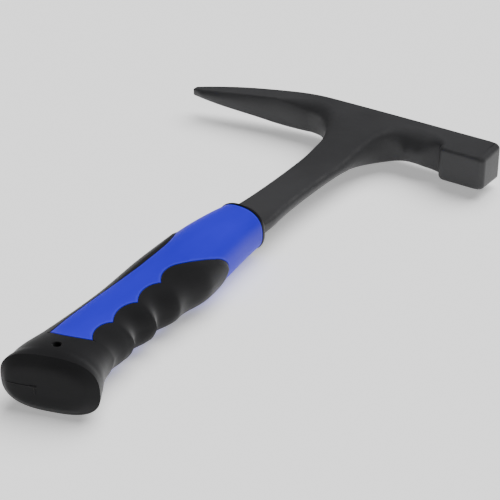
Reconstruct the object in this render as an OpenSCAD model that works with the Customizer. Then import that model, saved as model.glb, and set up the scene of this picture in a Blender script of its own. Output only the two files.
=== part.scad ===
// Rock hammer: a one-piece forged head, shank and tang in a moulded grip.
// It lies on its side. Y runs from the butt to the head, X points to the striking
// face, Z is the thickness. The outlines below are drawn about the handle's
// centreline and mid-plane, and place() moves them to the part's own origin.

/* [Head] */
// Distance from the handle's centreline to the striking face
face_reach = 75; // [60:1:84]
// Distance from the handle's centreline to the tip of the pick
pick_reach = 113.5; // [100:0.5:125]
// Side of the square striking block
poll_side = 21; // [18:0.5:22]
// Length of the striking block behind its face
poll_length = 27; // [20:1:30]
// Bevel round the striking face
face_bevel = 2.4; // [1:0.1:3]
// How far the pick's tip droops below the back of the head
pick_droop = 15; // [8:0.5:20]
// Side of the blunt point of the pick
tip_side = 4; // [3:0.5:6]
// Depth of the neck between the eye and the striking block
neck_depth = 11.5; // [9:0.5:13]

/* [Shank] */
// Thickness of the shank
shank_t = 6; // [5:0.2:8]
// Half width of the shank at its waist
shank_half_w = 9.6; // [8:0.1:11]
// How far the shank's middle is set back from the handle's centreline
shank_set = 1.2; // [0:0.1:2]
// Height of the back of the head above the butt
head_top = 291; // [280:1:310]

/* [Tang] */
// Half width of the tang in the grip
tang_half_w = 7; // [5:0.5:8]
// Distance of the tang's end from the butt
tang_end = 26; // [24:1:40]
// Diameter of the two holes that lock the tang to the grip core
lock_hole_d = 6; // [4:0.5:7]

/* [Grip] */
// Distance of the grip's head end from the butt
collar_y = 158; // [150:1:164]
// Thickness of the blue sleeve and of the soft overmould on its core
wall = 3; // [2:0.2:3.6]
// Depth of the finger hollows in the front of the grip
finger_depth = 4; // [0.5:0.1:4.4]
// Diameter of the lanyard hole
lanyard_d = 4; // [3:0.5:5]
// Thickness of the core's lip at the head end of the grip
lip_t = 2.6; // [1:0.2:3]

/* [Hidden] */

// Striking block and head
head_half_t = poll_side / 2;
block_y = head_top - poll_side;
block_x = face_reach - poll_length;
neck_y = head_top - neck_depth;
shank_half_t = shank_t / 2;
// Highest point of the neck's arch
neck_x = 26;
// Where the shank's rows join the head's columns
seam_y = 240;
seam_cols = 4;
seam_back = -shank_set - shank_half_w - 1;
seam_front = shank_half_w - shank_set + 1.2;
head_rows = 4;
// Extra length at the face, trimmed off so that the face is one plane
face_trim = 0.3;
// The shank's edges at its waist, and its shoulders on the grip core
waist_back = -shank_set - shank_half_w;
waist_front = shank_half_w - shank_set;
shoulder_y = collar_y;
shoulder_h = 1.2;

// Grip stations: distance from the butt, then the offset from the centreline
grip_back = [[3.6, -13.7], [14, -15.6], [29, -14.7], [60, -14.5], [90, -16.4],
    [112, -17.2], [130, -17.2], [146, -15.6], [160, -13.5]];
grip_front = [[3.6, 29.5], [10, 26.6], [18, 22.4], [26, 19.7], [36, 18.2], [50, 17.4],
    [84, 17.5], [100, 18], [112, 17.6], [130, 15.6], [146, 13.6], [160, 12.6]];
grip_half_t = [[3.6, 14.4], [8, 15], [14, 14.7], [29, 12.8], [60, 12.6], [112, 13.2],
    [130, 13.1], [146, 12.5], [160, 11.5]];
// Squareness of the grip's oval sections: the rim, just above it, then the body. An
// ellipse is 2.
butt_power = 2.7;
waist_power = 2.15;
body_power = 2.4;
// The butt's sections lean forward by this slope, which fades up the grip
butt_slope = 0.31;
rim_s = 3.6;
// Ridges between the fingers, at the edge of the finger pad
ridges = [25.5, 43, 63, 81.5];
// How far each ridge runs on towards the head at the front of the grip, by its distance
ridge_sweep = [[20, 6], [43, 5], [63, 2.5], [81.5, 0.5], [120, 0]];
// The first and the last finger hollow are shallower than the others, by these shares
first_hollow = 0.3;
last_hollow = 0.4;
// How far the ridges stand out from the grip's oval
ridge_rise = 1.6;
// The finger pad's edge in side view, at each ridge: [offset, distance]
cusps = [[13, 29.2], [11.3, 45], [10.7, 63.1], [9.8, 81.1]];
scallop_sag = 3;
pad_tip_y = 126;
strip_tip_y = 130.6;
// Ends of the straight part of the pad's edge and of the strip down the back
pad_neck = [7.6, 97.3];
strip_end = [-5, 22.3];
cut_sag = 2.4;
// The lanyard hole's place in side view: [offset, distance]
lanyard_at = [5.8, 14.6];
lock_holes_y = [60, 120];

grip_sides = 32;
core_sides = 24;
core_back = 1.6;
// Rings of the grip's two forms: [distance from the butt, inset]
butt_end = [[0, 11], [0.3, 6], [1.1, 3.4], [rim_s, 0]];
body_s = [8, 13, 18, 22.5, 26.5, 30, 34, 38.5, 43, 47, 51.5, 56, 60, 63.5, 67, 71, 75.5,
    80, 83.5, 87, 92, 98, 105, 112, 120, 130, 140, 149];
core_s = [9, 12, 18, 26, 36, 48, 62, 80, 100, 120, 140];

// How far the edges of the flats bow out, at the mid-plane
back_bow = 0.8;
pick_bow = 1.5;
fillet_bow = 2.5;
shank_bow = 1.3;
neck_bow = 6.2;

function mix(a, b, t) = a + (b - a) * t;
function ease(a, b, t) =
    let (u = min(max((t - a) / (b - a), 0), 1)) u * u * (3 - 2 * u);
function sgn(v) = v < 0 ? -1 : 1;
function arc_pts(c, rx, ry, a0, a1, n) =
    [for (i = [0:n]) let (a = mix(a0, a1, i / n)) [c[0] + rx * cos(a), c[1] + ry * sin(a)]];

// A smooth curve through stations, after Catmull and Rom
function slope_at(p, i) =
    i == 0 ? (p[1][1] - p[0][1]) / (p[1][0] - p[0][0])
    : i == len(p) - 1 ? (p[i][1] - p[i - 1][1]) / (p[i][0] - p[i - 1][0])
    : (p[i + 1][1] - p[i - 1][1]) / (p[i + 1][0] - p[i - 1][0]);
function span_of(p, t) =
    max([0, for (i = [1:len(p) - 2]) if (t >= p[i][0]) i]);
function along(p, t) =
    let (i = span_of(p, t), h = p[i + 1][0] - p[i][0],
         u = min(max((t - p[i][0]) / h, 0), 1))
    (2 * u * u * u - 3 * u * u + 1) * p[i][1] + (u * u * u - 2 * u * u + u) * h * slope_at(p, i)
    + (3 * u * u - 2 * u * u * u) * p[i + 1][1] + (u * u * u - u * u) * h * slope_at(p, i + 1);

// ---- Head, shank and tang: one forging with flat sides and bowed edges ----

// Half thickness of the flat sides: the head's taper to the pick's tip, and the
// flare from the thin shank up to the thick eye
taper = [[-pick_reach, tip_side / 2], [-95, 4.3], [-69, 7], [-43, 9.6],
    [-28, head_half_t], [face_reach + 1, head_half_t]];
function flare(y) = mix(shank_half_t, head_half_t, ease(232, 283, y));
function half_t(p) =
    min(along(taper, p[0]), flare(p[1])) - (p[0] > face_reach ? face_bevel : 0);

// The back of the head: straight, then drooping to the pick's tip
top_line = [[-pick_reach, head_top - pick_droop], [-105, head_top - 11.8],
    [-82, head_top - 5.4], [-56, head_top - 1.2], [-36, head_top], [face_reach + 1, head_top]];
// The pick's underside up to its fillet with the shank
pick_x = [-pick_reach, -105, -94, -82, -69, -56, -44];
pick_under = [[-pick_reach, head_top - pick_droop - tip_side], [-95, head_top - 18],
    [-69, head_top - 14.9], [-36, head_top - 12]];
under_pick = [for (x = pick_x) [x, along(pick_under, x)]];
pick_fillet = arc_pts([-37, 246], 25.2, head_top - 258, 90, 8, 8);
// From the shank up under the neck and down to the striking block
neck_arch = arc_pts([neck_x, seam_y], neck_x - seam_front, neck_y - seam_y, 176, 90, 10);
neck_drop = arc_pts([neck_x, block_y], block_x - neck_x, neck_y - block_y, 72, 0, 5);
block_under = [[mix(block_x, face_reach, 0.5), block_y], [face_reach - face_bevel, block_y],
    [face_reach + face_trim, block_y + face_bevel]];

seam = [for (k = [0:seam_cols]) [mix(seam_back, seam_front, k / seam_cols), seam_y]];
low_edge = concat(under_pick, pick_fillet, seam, neck_arch, neck_drop, block_under);
seam_0 = len(under_pick) + len(pick_fillet);
seam_1 = seam_0 + seam_cols;
last_col = len(low_edge) - 1;
// The columns lean over the fillets, so that none of them crosses another
lean_0 = len(under_pick) - 1;
lean_1 = seam_1 + len(neck_arch) + len(neck_drop);
function top_x(i) =
    i <= lean_0 || i >= lean_1 ? low_edge[i][0]
    : mix(low_edge[lean_0][0], low_edge[lean_1][0], (i - lean_0) / (lean_1 - lean_0));
function high_edge(i) =
    [top_x(i), along(top_line, top_x(i)) - (i == last_col ? face_bevel : 0)];

// The shank's two edges below the seam, then the shoulders and the tang
shank_back = [[shoulder_y + shoulder_h, waist_back - 0.6], [168, waist_back - 1.2],
    [182, waist_back - 0.4], [200, waist_back], [222, waist_back - 0.2], [seam_y, seam_back]];
shank_front = [[shoulder_y + shoulder_h, waist_front + 2.4], [168, waist_front + 2],
    [182, waist_front + 0.6], [200, waist_front], [222, waist_front + 0.2], [seam_y, seam_front]];
shank_rows = [232, 222, 212, 200, 190, 178, 168, 162, shoulder_y + shoulder_h, shoulder_y,
    tang_end + 4, tang_end];
function tang_in(y) = y == tang_end ? 3 : 0;
function shank_x(y, t) =
    y <= shoulder_y ? mix(tang_in(y) - tang_half_w, tang_half_w - tang_in(y), t)
    : mix(along(shank_back, y), along(shank_front, y), t);

grid = concat(
    [for (i = [0:last_col], j = [0:head_rows])
        low_edge[i] + (high_edge(i) - low_edge[i]) * j / head_rows],
    [for (y = shank_rows, k = [0:seam_cols]) [shank_x(y, k / seam_cols), y]]);
function head_at(i, j) = i * (head_rows + 1) + j;
function shank_at(r, k) =
    r < 0 ? head_at(seam_0 + k, 0)
    : (last_col + 1) * (head_rows + 1) + r * (seam_cols + 1) + k;
last_row = len(shank_rows) - 1;
cells = concat(
    [for (i = [0:last_col - 1], j = [0:head_rows - 1])
        [head_at(i, j), head_at(i + 1, j), head_at(i + 1, j + 1), head_at(i, j + 1)]],
    [for (r = [-1:last_row - 1], k = [0:seam_cols - 1])
        [shank_at(r + 1, k), shank_at(r + 1, k + 1), shank_at(r, k + 1), shank_at(r, k)]]);
// Once round the outline, with how far the edge bows out at each point
rim = concat(
    [for (i = [0:seam_0 - 1]) [head_at(i, 0), i == 0 ? 0 : i < lean_0 ? pick_bow : fillet_bow]],
    [for (r = [-1:last_row]) [shank_at(r, 0), bow_of_row(r)]],
    [for (k = [1:seam_cols - 1]) [shank_at(last_row, k), 0]],
    [for (r = [last_row:-1:-1]) [shank_at(r, seam_cols), bow_of_row(r)]],
    [for (i = [seam_1 + 1:last_col - 1]) [head_at(i, 0), bow_under_neck(low_edge[i][0])]],
    [for (j = [0:head_rows]) [head_at(last_col, j), 0]],
    [for (i = [last_col - 1:-1:1])
        [head_at(i, head_rows), low_edge[i][0] < block_x ? back_bow : 0]],
    [for (j = [head_rows:-1:1]) [head_at(0, j), 0]]);
function bow_of_row(r) = r < 0 ? shank_bow : shank_bow * ease(collar_y, 172, shank_rows[r]);
function bow_under_neck(x) =
    x >= block_x - 0.5 ? 0
    : mix(shank_bow, neck_bow, ease(10, 30, x)) * ease(block_x, block_x - 12, x);
function unit(v) = v / max(norm(v), 0.001);
function outward(n) =
    let (a = grid[rim[(n + len(rim) - 1) % len(rim)][0]], b = grid[rim[(n + 1) % len(rim)][0]],
         t = unit(b - a))
    [t[1], -t[0]];

module forging_form() {
    n_grid = len(grid);
    n_rim = len(rim);
    top = [for (p = grid) [p[0], p[1], half_t(p)]];
    base = [for (p = grid) [p[0], p[1], -half_t(p)]];
    mid = [for (n = [0:n_rim - 1])
        let (p = grid[rim[n][0]] + outward(n) * rim[n][1]) [p[0], p[1], 0]];
    walls = [for (n = [0:n_rim - 1])
        let (m = (n + 1) % n_rim, a = rim[n][0], b = rim[m][0], c = 2 * n_grid)
        each [[a, b, c + m, c + n], [c + n, c + m, n_grid + b, n_grid + a]]];
    polyhedron(
        concat(top, base, mid),
        concat([for (q = cells) [q[3], q[2], q[1], q[0]]],
            [for (q = cells) [for (v = q) v + n_grid]], walls),
        convexity = 6);
}

// ---- Grip: oval sections on planes that lean towards the butt ----

function lean(s) = butt_slope * (1 - ease(10, 75, s));
// 0 on a ridge, 1 in the middle of a finger hollow
function hollow(s) =
    let (n = len(ridges) - 1, i = max([0, for (k = [0:n]) if (s >= ridges[k]) k]))
    s < ridges[0] ? 0
    : i < n ? (i == 0 ? first_hollow : 1)
        * pow(sin(180 * (s - ridges[i]) / (ridges[i + 1] - ridges[i])), 0.9)
    : last_hollow * (s < ridges[n] + 24 ? sin(180 * (s - ridges[n]) / 24) : 0);
function front_share(a) = max(0, cos(a) - 0.5) / 0.5;
function finger_cut(s, a) =
    let (share = front_share(a), at = s - along(ridge_sweep, s) * share)
    finger_depth * pow(share, 0.7) * hollow(at)
    - ridge_rise * share * ease(28, 42, s) * (1 - ease(100, 122, s));
// The core stands back from the finger hollows, which leaves the overmould its wall
function core_cut(s, a) =
    core_back * front_share(a) * ease(14, 24, s) * (1 - ease(104, 118, s));
function power_at(s) =
    mix(mix(butt_power, waist_power, ease(rim_s, 10, s)), body_power, ease(10, 30, s));
function grip_point(s, a, inset, cut) =
    let (back = along(grip_back, s), front = along(grip_front, s), power = 2 / power_at(s),
         u = pow(abs(cos(a)), power), v = pow(abs(sin(a)), power),
         x = (back + front) / 2 + sgn(cos(a)) * u * ((front - back) / 2 - inset) - cut)
    [x, s + lean(s) * x, sgn(sin(a)) * v * (along(grip_half_t, s) - inset)];

// Skins a stack of rings of points, with flat ends
module ring_form(rings) {
    n = len(rings) - 1;
    sides = len(rings[0]);
    quads = [for (i = [0:n - 1], k = [0:sides - 1])
        [i * sides + k, i * sides + (k + 1) % sides,
            (i + 1) * sides + (k + 1) % sides, (i + 1) * sides + k]];
    ends = [[for (k = [sides - 1:-1:0]) k], [for (k = [0:sides - 1]) n * sides + k]];
    polyhedron([for (r = rings) each r], concat(quads, ends), convexity = 4);
}

butt_rings = [for (r = butt_end)
    [for (k = [0:grip_sides - 1]) grip_point(r[0], 360 * k / grip_sides, r[1], 0)]];

module outer_form() {
    ring_form(concat(butt_rings, [for (s = concat(body_s, [collar_y]))
        [for (k = [0:grip_sides - 1])
            let (a = 360 * k / grip_sides) grip_point(s, a, 0, finger_cut(s, a))]]));
}

module core_form(end_s) {
    ring_form([for (s = concat(core_s, [end_s]))
        [for (k = [0:core_sides - 1])
            let (a = 360 * k / core_sides) grip_point(s, a, wall, core_cut(s, a))]]);
}

// The core's lip round the head end of the sleeve, with a bevelled nose
module core_lip() {
    ring_form([for (r = [[0, -0.4], [0.6, -0.3], [1, 1]])
        [for (k = [0:grip_sides - 1])
            grip_point(collar_y + r[0] * lip_t, 360 * k / grip_sides, r[1], 0)]]);
}

// The blue sleeve in side view: between the finger pad's scallops and the strip
// down the back, and right round the grip beyond their tips
function bulge_pts(a, b, sag, n) =
    let (c = norm(b - a), r = (c * c / 4 + sag * sag) / (2 * sag), m = (a + b) / 2,
         o = m + [(b - a)[1], -(b - a)[0]] / c * (r - sag),
         a0 = atan2(a[1] - o[1], a[0] - o[0]), a1 = atan2(b[1] - o[1], b[0] - o[0]),
         turn = a1 > a0 ? a1 - 360 : a1)
    [for (i = [0:n - 1]) let (v = mix(a0, turn, i / n)) [o[0] + r * cos(v), o[1] + r * sin(v)]];
scallops = [for (i = [0:len(cusps) - 2]) each bulge_pts(cusps[i], cusps[i + 1], scallop_sag, 6)];
pad_top = bulge_pts(cusps[3], pad_neck, 2.8, 6);
cut_down = bulge_pts(cusps[0], strip_end, cut_sag, 6);
sleeve_side = concat(scallops, pad_top,
    [pad_neck, [10.1, 102.3], [12.3, 107], [13.9, 111.1], [15.1, 114.9], [16, 118.6],
        [16.1, 122.6], [15.4, 125], [14.4, pad_tip_y], [30, pad_tip_y], [30, collar_y + 1],
        [-30, collar_y + 1], [-30, strip_tip_y], [-16.4, strip_tip_y], [-15.4, 127],
        [-13, 122.5], [-10.8, 117.5], [-9.1, 112], [-7.6, 100],
        [-6.8, 84], [-7.2, 66], [-7.5, 50], [-6.9, 34.3], strip_end],
    [for (i = [5:-1:1]) cut_down[i]]);

module sleeve_zone() {
    translate([0, 0, -20])
        linear_extrude(40)
            polygon(sleeve_side);
}

module lanyard_bore() {
    translate([lanyard_at[0], lanyard_at[1], -25])
        cylinder(h = 50, d = lanyard_d, $fn = 48);
}

// The part's origin: the middle of its box, on the surface that it lies on
butt_low = min([for (r = butt_rings, q = r) q[1]]);
mid_x = (face_reach - pick_reach) / 2;
mid_y = (head_top + back_bow + butt_low) / 2;
rest_z = max([for (s = body_s) along(grip_half_t, s)]);

module place() {
    translate([-mid_x, -mid_y, rest_z])
        children();
}

// The forging with its striking face trimmed flat and the tang's holes drilled
module forging() {
    difference() {
        forging_form();
        translate([face_reach, head_top - 40, -30])
            cube([10, 60, 60]);
        for (y = lock_holes_y)
            translate([0, y, -20])
                cylinder(h = 40, d = lock_hole_d, $fn = 48);
    }
}

module forged_hammer() {
    color("#4b4b4f")
        place()
            forging();
}

module grip_core() {
    color("#1d1d1f")
        place()
            difference() {
                union() {
                    core_form(collar_y);
                    core_lip();
                }
                forging();
                lanyard_bore();
            }
}

module grip_sleeve() {
    color("#2b3ed0")
        place()
            intersection() {
                difference() {
                    outer_form();
                    core_form(collar_y + 3);
                }
                sleeve_zone();
            }
}

module soft_overmould() {
    color("#262628")
        place()
            difference() {
                outer_form();
                core_form(collar_y + 3);
                sleeve_zone();
                lanyard_bore();
            }
}

forged_hammer();
grip_core();
grip_sleeve();
soft_overmould();
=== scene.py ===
import math

import bmesh
import bpy
import numpy as np
from mathutils import Matrix, Vector
from mathutils.geometry import delaunay_2d_cdt


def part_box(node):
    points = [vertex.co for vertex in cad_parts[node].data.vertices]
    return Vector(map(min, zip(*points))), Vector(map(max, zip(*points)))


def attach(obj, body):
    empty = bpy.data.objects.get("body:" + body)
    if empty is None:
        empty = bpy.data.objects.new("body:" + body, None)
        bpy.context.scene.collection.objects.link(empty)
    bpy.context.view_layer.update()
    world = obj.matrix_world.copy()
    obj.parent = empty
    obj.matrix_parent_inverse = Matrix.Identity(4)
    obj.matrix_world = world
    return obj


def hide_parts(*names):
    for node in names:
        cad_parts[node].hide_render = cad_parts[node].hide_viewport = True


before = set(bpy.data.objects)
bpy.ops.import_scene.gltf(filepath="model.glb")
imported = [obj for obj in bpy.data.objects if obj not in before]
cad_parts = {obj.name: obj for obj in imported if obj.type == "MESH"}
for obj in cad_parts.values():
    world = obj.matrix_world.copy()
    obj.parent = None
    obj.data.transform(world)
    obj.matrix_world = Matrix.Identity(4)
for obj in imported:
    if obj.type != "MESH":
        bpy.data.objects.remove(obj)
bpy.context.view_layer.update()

# A rock hammer lying on its side. Lengths are millimetres about the handle's centreline
# and mid-plane: X points to the striking face, Y from the butt to the head, Z is the
# thickness. placed() takes them to metres in the frame.

# Head: reach of the face and of the pick from the centreline, then its other sizes
FACE_REACH = 75.0
PICK_REACH = 113.5
POLL_SIDE = 21.0
POLL_LENGTH = 27.0
FACE_BEVEL = 2.4
PICK_DROOP = 15.0
TIP_SIDE = 4.0
TIP_ROUND = 1.3
NECK_DEPTH = 11.5
HEAD_TOP = 291.0
# Radius of the striking block's inner corner, in side view
NOSE_ROUND = 3.6
# Edge radii of the head: at the pick's tip and root, where the shank meets the head,
# at the neck, at the block and on the back, then what the face adds below and above
PICK_EDGE = (0.7, 5.5)
ROOT_EDGE = 1.6
NECK_EDGE = 3.8
BLOCK_EDGE = 1.8
BACK_EDGE = 1.2
FACE_EDGE = (1.3, 1.2)
# How far the walls bow out at the mid-plane
PICK_BOW = (1.5, 2.5)
NECK_BOW = 6.2
BACK_BOW = 0.8
SHANK_BOW = 1.3
# Shank and tang
SHANK_HALF_T = 3.0
SHANK_HALF_W = 9.6
SHANK_SET = 1.2
SHANK_EDGE = 1.2
SHOULDER_Y = 158.0
SHOULDER_H = 1.2
TANG_HALF_W = 7.0
TANG_END = 26.0
TANG_CORNER = 3.0
TANG_EDGE = 0.6
# Where the shank's thickness grows to the head's
FLARE = (232, 283)
# Grip
COLLAR_Y = 158.0
WALL = 3.0
LIP_T = 2.6
RIM_S = 3.6
FINGER_DEPTH = 4.2
LANYARD_AT = (5.8, 14.6)
LANYARD_R = 2.0

HEAD_HALF_T = POLL_SIDE / 2
BLOCK_X = FACE_REACH - POLL_LENGTH
BLOCK_Y = HEAD_TOP - POLL_SIDE
NECK_X = 26.0
NECK_Y = HEAD_TOP - NECK_DEPTH
WAIST_BACK = -SHANK_SET - SHANK_HALF_W
WAIST_FRONT = SHANK_HALF_W - SHANK_SET
# The line on which the shank's cells meet the head's
SEAM_Y = 240.0
SEAM_BACK = WAIST_BACK - 1.0
SEAM_FRONT = WAIST_FRONT + 1.2

# Colours
STEEL_DARK = (0.034, 0.034, 0.0355)
STEEL_LIGHT = (0.044, 0.044, 0.046)
STEEL_SPECK = (0.062, 0.062, 0.065)
STEEL_WORN = (0.095, 0.093, 0.092)
BLUE_DEEP = (0.021, 0.010, 0.56)
BLUE_BRIGHT = (0.029, 0.016, 0.66)
# Painted shade for the dark groove along the sleeve's edge
BLUE_GROOVE_SHADE = (0.010, 0.018, 0.20)
# Painted highlight for the lighter line beside the sleeve's edge
BLUE_RIM_HIGHLIGHT = (0.10, 0.12, 0.78)
RUBBER_DARK = (0.0120, 0.0120, 0.0128)
RUBBER_BLOOM = (0.0162, 0.0162, 0.0172)
RUBBER_GRAIN = (0.022, 0.022, 0.0232)
CORE_DARK = (0.010, 0.010, 0.012)
CORE_LIGHT = (0.018, 0.018, 0.020)
FLOOR_LOW = (0.93, 0.93, 0.93)
FLOOR_HIGH = (0.95, 0.95, 0.95)

# Camera: degrees, the point it looks at, then metres to that point
AZIMUTH = 34.86
ELEVATION = 30.89
ROLL = -0.85
AIM = (15.95, 142.22, 0.0)
DISTANCE = 0.7189
LENS = 108.0

# Light: the tent's level at the horizon, above it, and how much brighter its front
# is, then the overhead panel
TENT_HORIZON = 2.1
TENT_SKY = 0.9
TENT_FRONT = 1.35
PANEL_FROM = (0.15, 0.50, 1.0)
PANEL_POWER = 4.4
PANEL_ANGLE = 60.0
# The floor's own glow, which lights the hammer from below, and half its side in metres
FLOOR_GLOW = 0.42
FLOOR_REACH = 6.0

steel_low, steel_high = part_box("forged_hammer")
ORIGIN = np.array([
    steel_high.x * 1000 - FACE_REACH,
    steel_high.y * 1000 - HEAD_TOP - BACK_BOW,
    (steel_low.z + steel_high.z) * 500,
])


def placed(points):
    """Millimetres about the handle's centreline, as metres in the frame."""
    return (np.asarray(points, float) + ORIGIN) / 1000


def mix(a, b, t):
    """From a to b as t goes from 0 to 1."""
    return a + (b - a) * t


def ease(a, b, t):
    """A smooth step, 0 up to a and 1 from b on."""
    u = np.clip((np.asarray(t, float) - a) / (b - a), 0, 1)
    return u * u * (3 - 2 * u)


def soft_min(a, b, k):
    """The smaller of a and b, blended over a width of k."""
    h = np.clip(0.5 + 0.5 * (b - a) / k, 0, 1)
    return mix(b, a, h) - k * h * (1 - h)


def along(stations, t):
    """A smooth curve through stations of (place, value)."""
    place, value = np.array(stations, float).T
    slope = np.empty_like(value)
    slope[1:-1] = (value[2:] - value[:-2]) / (place[2:] - place[:-2])
    slope[0] = (value[1] - value[0]) / (place[1] - place[0])
    slope[-1] = (value[-1] - value[-2]) / (place[-1] - place[-2])
    t = np.asarray(t, float)
    i = np.clip(np.searchsorted(place, t, side="right") - 1, 0, len(place) - 2)
    h = place[i + 1] - place[i]
    u = np.clip((t - place[i]) / h, 0, 1)
    u2, u3 = u * u, u * u * u
    return (
        (2 * u3 - 3 * u2 + 1) * value[i] + (u3 - 2 * u2 + u) * h * slope[i]
        + (3 * u2 - 2 * u3) * value[i + 1] + (u3 - u2) * h * slope[i + 1]
    )


def arc(centre, rx, ry, start, end, count):
    """Points along an elliptical arc, angles in degrees, the last one left out."""
    a = np.radians(np.linspace(start, end, count + 1)[:-1])
    return np.stack([centre[0] + rx * np.cos(a), centre[1] + ry * np.sin(a)], 1)


def line(a, b, count):
    """Points along a straight line, the last one left out."""
    t = np.linspace(0, 1, count + 1)[:-1, None]
    return mix(np.array(a, float), np.array(b, float), t)


def lengths(points):
    """Distance along a polyline at each of its points."""
    return np.concatenate([[0], np.cumsum(np.linalg.norm(np.diff(points, axis=0), axis=1))])


def steps_of(points):
    """A polyline's segments, as pairs of points."""
    return np.stack([points[:-1], points[1:]], 1)


# ---- Meshes ----


def add_object(name, data):
    """Puts a mesh, a lamp or a camera in the scene."""
    thing = bpy.data.objects.new(name, data)
    bpy.context.scene.collection.objects.link(thing)
    return thing


def tube_faces(rings, sides):
    """Quads between the rings of a tube, and its two end faces."""
    faces = [(i * sides + k, i * sides + (k + 1) % sides, (i + 1) * sides + (k + 1) % sides,
              (i + 1) * sides + k) for i in range(rings - 1) for k in range(sides)]
    last = (rings - 1) * sides
    return faces + [tuple(range(sides - 1, -1, -1)), tuple(range(last, last + sides))]


def make_piece(name, points, faces, material, node, sharp_deg=32.0, tags=None):
    """A closed mesh from millimetre points, riding on the hammer's body."""
    mesh = bpy.data.meshes.new(name)
    mesh.from_pydata(placed(points).tolist(), [], [list(map(int, f)) for f in faces])
    mesh.validate()
    mesh.shade_smooth()
    mesh.set_sharp_from_angle(angle=math.radians(sharp_deg))
    for tag, values in (tags or {}).items():
        attribute = mesh.attributes.new(tag, "FLOAT", "POINT")
        attribute.data.foreach_set("value", np.asarray(values, np.float32))
    mesh.materials.append(material)
    piece = add_object(name, mesh)
    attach(piece, "root")
    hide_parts(node)
    return piece


# ---- Forging ----

TAPER = [(-PICK_REACH, 2), (-95, 4.3), (-69, 7), (-43, 9.6), (-28, 10.5), (76, 10.5)]
TOP_LINE = [
    (-PICK_REACH, HEAD_TOP - PICK_DROOP), (-105, HEAD_TOP - 11.8), (-82, HEAD_TOP - 5.4),
    (-56, HEAD_TOP - 1.2), (-36, HEAD_TOP), (76, HEAD_TOP),
]
PICK_UNDER = [
    (-PICK_REACH, HEAD_TOP - PICK_DROOP - TIP_SIDE), (-95, HEAD_TOP - 18),
    (-69, HEAD_TOP - 14.9), (-36, HEAD_TOP - 12),
]
SHANK_BACK = [
    (SHOULDER_Y + 1.2, WAIST_BACK - 0.6), (168, WAIST_BACK - 1.2), (182, WAIST_BACK - 0.4),
    (200, WAIST_BACK), (222, WAIST_BACK - 0.2), (SEAM_Y, SEAM_BACK),
]
SHANK_FRONT = [
    (SHOULDER_Y + 1.2, WAIST_FRONT + 2.4), (168, WAIST_FRONT + 2), (182, WAIST_FRONT + 0.6),
    (200, WAIST_FRONT), (222, WAIST_FRONT + 0.2), (SEAM_Y, SEAM_FRONT),
]
HEAD_ROWS = 18
SEAM_CELLS = 24
CORNER_STEPS = 6
WALL_STEPS = 12
# Columns of cells along the pick, its root fillet, the neck's two arcs, the block's
# inner corner, the block and the bevelled face
PICK_CELLS = 100
FILLET_CELLS = 60
ARCH_CELLS = 60
DROP_CELLS = 30
NOSE_CELLS = 10
BLOCK_CELLS = 14
FACE_CELLS = 8
# The pick's root fillet: where it starts, its centre's height and its reach
ROOT_X = -37
ROOT_Y = 246
ROOT_REACH = 25.2
NECK_PASSES = 1400


def end_inset(x):
    """How far the section shrinks near the two ends: a round tip, a bevelled face."""
    tip = np.clip((TIP_ROUND - (x + PICK_REACH)) / TIP_ROUND, 0, 1)
    face = np.clip((x - (FACE_REACH - FACE_BEVEL)) / FACE_BEVEL, 0, 1)
    rounded = FACE_BEVEL * (0.62 * face + 0.38 * (1 - np.sqrt(1 - face ** 4)))
    return TIP_ROUND * (1 - np.sqrt(1 - tip * tip)) + rounded


def half_t(x, y):
    """Half of the forging's thickness at a place in side view."""
    flare = mix(SHANK_HALF_T, HEAD_HALF_T, ease(*FLARE, y))
    return soft_min(along(TAPER, x), flare, 1.2) - end_inset(x)


def smooth_turn(arch, drop):
    """The neck's two arcs as one curve, with the change of curvature spread out."""
    both = np.concatenate([arch, drop])
    length = lengths(both)
    even = np.linspace(0, length[-1], 400)
    dense = np.stack([np.interp(even, length, both[:, k]) for k in (0, 1)], 1)
    ends = np.minimum(even, length[-1] - even)
    for _ in range(NECK_PASSES):
        moved = dense.copy()
        moved[1:-1] = (dense[:-2] + 2 * dense[1:-1] + dense[2:]) / 4
        dense = mix(dense, moved, ease(0, 9, ends)[:, None])
    return np.stack([np.interp(length, even, dense[:, k]) for k in (0, 1)], 1)


def low_edge():
    """The head's lower outline from the pick's tip to the face, and the index at which
    each of its parts starts."""
    x = -PICK_REACH + (PICK_REACH + ROOT_X) * np.linspace(0, 1, PICK_CELLS + 1) ** 1.25
    pick = np.stack([x, along(PICK_UNDER, x) + end_inset(x)], 1)[:-1]
    fillet = arc((ROOT_X, ROOT_Y), ROOT_REACH, HEAD_TOP - 12 - ROOT_Y, 90, 8, FILLET_CELLS)
    seam = line((SEAM_BACK, SEAM_Y), (SEAM_FRONT, SEAM_Y), SEAM_CELLS)
    nose_y = BLOCK_Y + NOSE_ROUND
    turn = smooth_turn(
        arc((NECK_X, SEAM_Y), NECK_X - SEAM_FRONT, NECK_Y - SEAM_Y, 176, 90, ARCH_CELLS),
        arc((NECK_X, nose_y), BLOCK_X - NECK_X, NECK_Y - nose_y, 90, 0, DROP_CELLS))
    nose_x = BLOCK_X + NOSE_ROUND
    nose = arc((nose_x, nose_y), NOSE_ROUND, NOSE_ROUND, 180, 270, NOSE_CELLS)
    block = line((nose_x, BLOCK_Y), (FACE_REACH - FACE_BEVEL, BLOCK_Y), BLOCK_CELLS)
    x = np.linspace(FACE_REACH - FACE_BEVEL, FACE_REACH, FACE_CELLS + 1)
    bevel = np.stack([x, BLOCK_Y + end_inset(x)], 1)
    parts = [pick, fillet, seam, np.concatenate([turn, nose]), block, bevel]
    starts = np.cumsum([0] + [len(p) for p in parts])
    return np.concatenate(parts), starts


def back_edge(low, starts):
    """The back of the head, with one point for each point of the lower outline."""
    first, last = starts[1], starts[4]
    index = np.arange(len(low), dtype=float)
    evened = mix(low[first, 0], low[last, 0], (index - first) / (last - first))
    x = np.where((index <= first) | (index >= last), low[:, 0], evened)
    return np.stack([x, along(TOP_LINE, x) - end_inset(x)], 1)


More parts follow.
